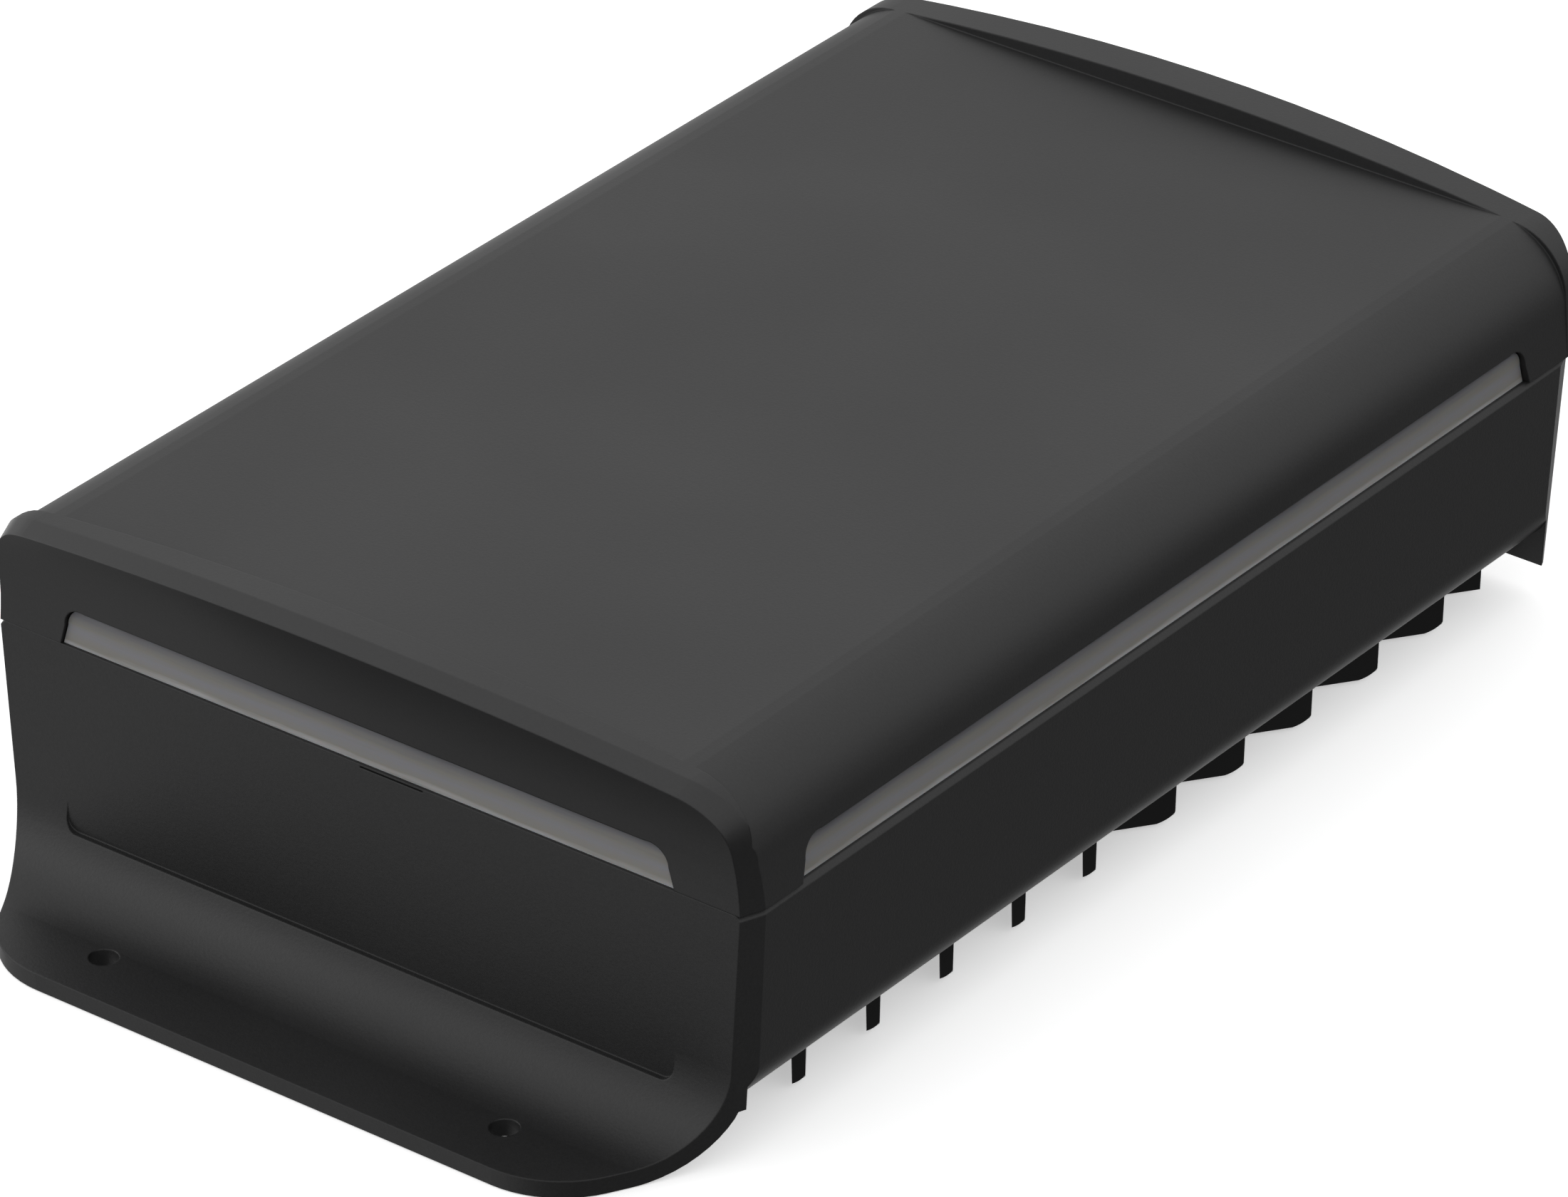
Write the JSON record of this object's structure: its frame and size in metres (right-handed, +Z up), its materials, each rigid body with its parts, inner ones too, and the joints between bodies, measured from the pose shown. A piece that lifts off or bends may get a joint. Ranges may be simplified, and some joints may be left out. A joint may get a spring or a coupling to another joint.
{
  "type": "cellular signal booster",
  "caption": "Low dark casing with a rounded cover, slim light bars along the parting line, a finned heat sink underneath and a mounting flange at one end.",
  "frame": {"origin": "middle of the underside of the bounding box, at the underside of the mounting flange", "axes": "+Z up, +Y from the flange towards the socket end, X across the width"},
  "size_m": [0.1546, 0.2664, 0.0724],
  "materials": {
    "cover_plastic": "fine grained matt charcoal",
    "casing_metal": "fine textured black powder coat",
    "seal_rubber": "matt",
    "black_aluminium": "black anodised, slight sheen",
    "diffuser": "frosted grey, unlit",
    "circuit_board": "green solder mask",
    "lamp_white": "small lamp body",
    "brass": "turned",
    "steel": "zinc plated",
    "tinned_steel": "tinned",
    "ceramic": "fired ceramic",
    "chip_black": "moulded package",
    "thermal_pad": "soft pad",
    "bare_aluminium": "milled",
    "capacitor_sleeve": "shrink sleeve",
    "gold_brass": "gold plated",
    "jack_plastic": "moulded"
  },
  "bodies": {
    "root": {"top_cover": "cover_plastic", "lower_casing": "casing_metal", "cover_gasket": "seal_rubber", "heatsink": "black_aluminium", "front_light_bar": "diffuser", "right_light_bar": "diffuser", "left_light_bar": "diffuser", "front_led_board": "circuit_board", "right_led_board": "circuit_board", "left_led_board": "circuit_board", "front_leds": "lamp_white", "right_leds": "lamp_white", "left_leds": "lamp_white", "main_board": "circuit_board", "board_standoffs": "brass", "board_screws": "steel", "cover_screws": "steel", "heatsink_screws": "steel", "donor_shield": "tinned_steel", "server_shield": "tinned_steel", "duplexer_filters": "ceramic", "power_amplifiers": "chip_black", "thermal_pads": "thermal_pad", "heat_spreader": "bare_aluminium", "processor_chip": "chip_black", "memory_chip": "chip_black", "bluetooth_antenna": "ceramic", "power_inductors": "chip_black", "capacitors": "capacitor_sleeve", "donor_connector": "gold_brass", "server_connector": "gold_brass", "connector_washers": "gold_brass", "connector_nuts": "gold_brass", "power_jack": "jack_plastic", "data_port": "tinned_steel"}
  },
  "joints": []
}
